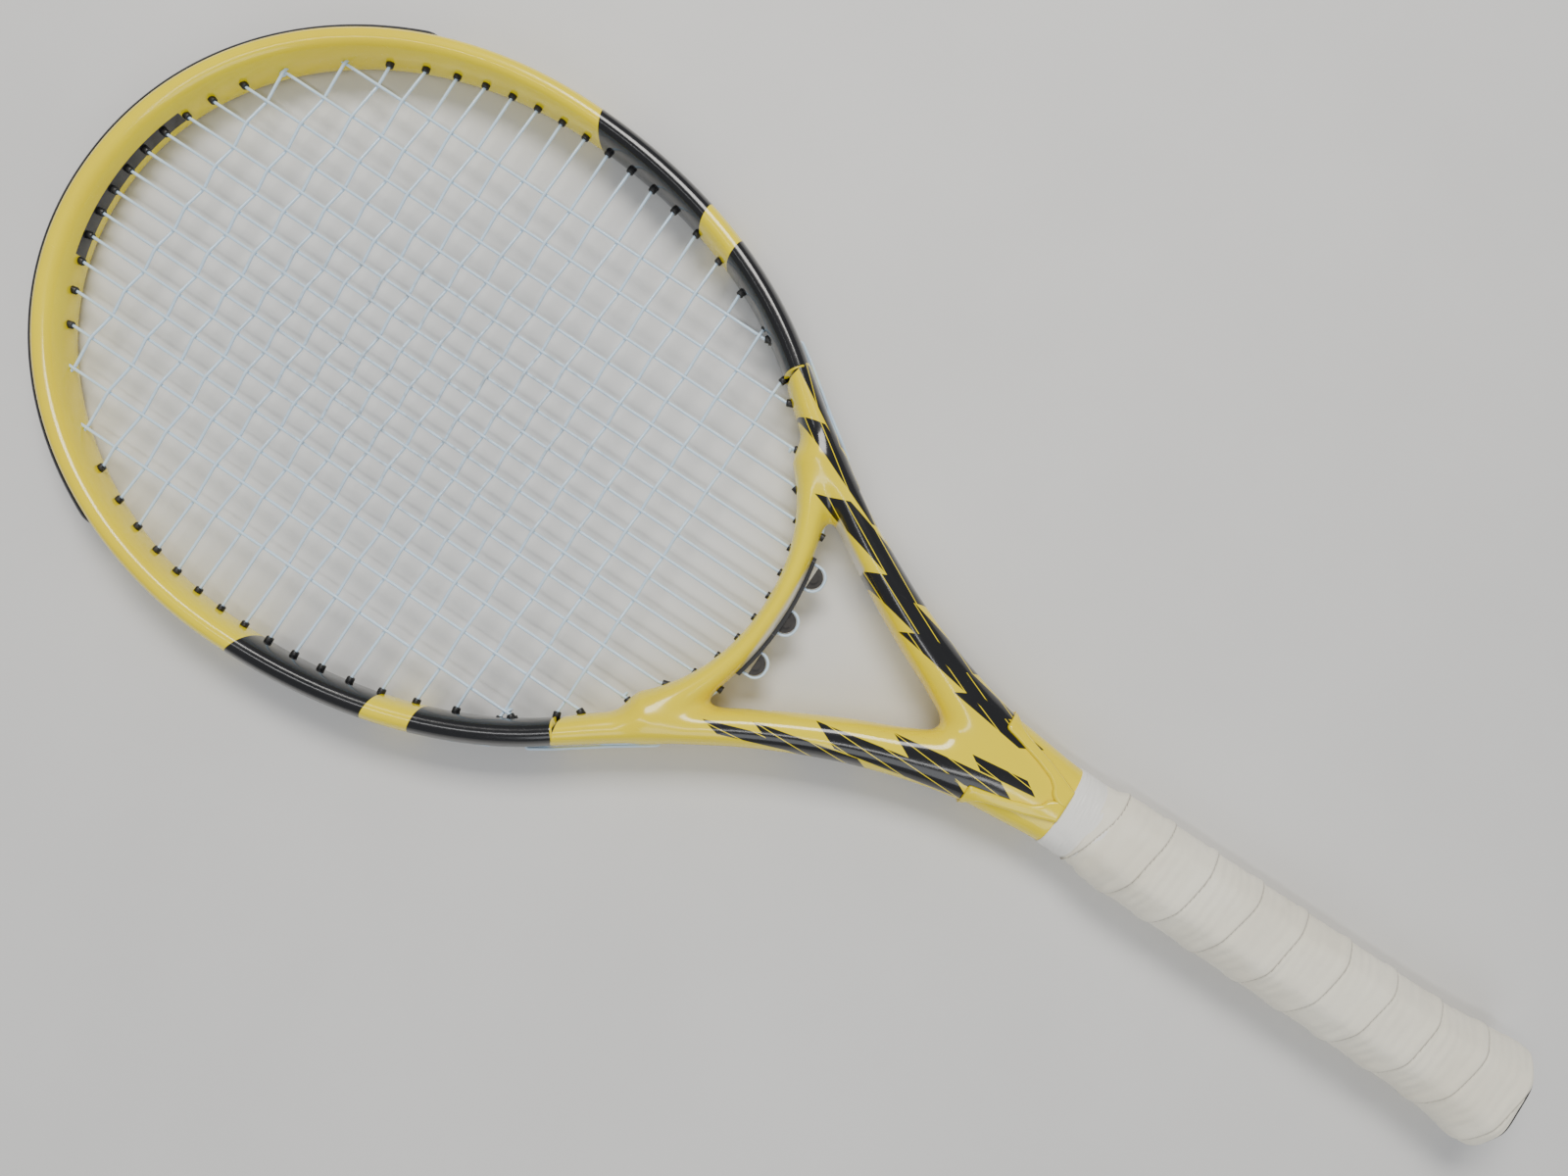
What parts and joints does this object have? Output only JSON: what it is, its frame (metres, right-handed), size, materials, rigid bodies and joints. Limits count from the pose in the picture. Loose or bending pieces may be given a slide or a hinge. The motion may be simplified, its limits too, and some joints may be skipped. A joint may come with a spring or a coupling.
{
  "type": "tennis racket",
  "caption": "Strung tennis racket: hollow hairpin frame with throat bridge, woven string bed, tip guard and octagonal wrapped handle.",
  "frame": {"origin": "centre of the butt cap's end face, on the racket's long axis and in the string plane", "axes": "+X along the handle to the head tip, +Z square to the string plane, +Y across the head"},
  "size_m": [0.685, 0.2707, 0.0362],
  "materials": {
    "painted_frame": "glossy yellow lacquer with black bands",
    "fork_plastic": "glossy yellow moulded plastic",
    "black_nylon": "satin black nylon",
    "smoked_plastic": "dark smoked plastic",
    "string_nylon": "pale blue-white string",
    "handle_foam": "moulded foam",
    "cap_plastic": "satin black",
    "steel_wire": "plain steel wire",
    "base_grip_leather": "cushioned synthetic",
    "overgrip_fabric": "matte cream overgrip",
    "tape_film": "satin white tape"
  },
  "bodies": {
    "racket": {"hairpin_frame": "painted_frame", "throat_bridge": "painted_frame", "bumper_guard": "black_nylon", "left_grommet_strip": "black_nylon", "right_grommet_strip": "black_nylon", "bridge_grommet_strip": "black_nylon", "corner_grommets": "black_nylon", "bridge_saddles": "smoked_plastic", "main_string": "string_nylon", "cross_string": "string_nylon", "string_knots": "string_nylon", "fork_cover_upper": "fork_plastic", "fork_cover_lower": "fork_plastic", "pallet_upper": "handle_foam", "pallet_lower": "handle_foam", "tube_end_plugs": "handle_foam", "butt_cap": "cap_plastic", "butt_staples": "steel_wire", "base_grip": "base_grip_leather", "overgrip": "overgrip_fabric", "finishing_tape": "tape_film"},
    "trap_door": {"trap_door": "cap_plastic"}
  },
  "joints": [
    {"name": "trap_door_pull", "type": "slide", "parent": "racket", "child": "trap_door", "axis": [-1, 0, 0], "range_m": [0, 0.012]}
  ]
}
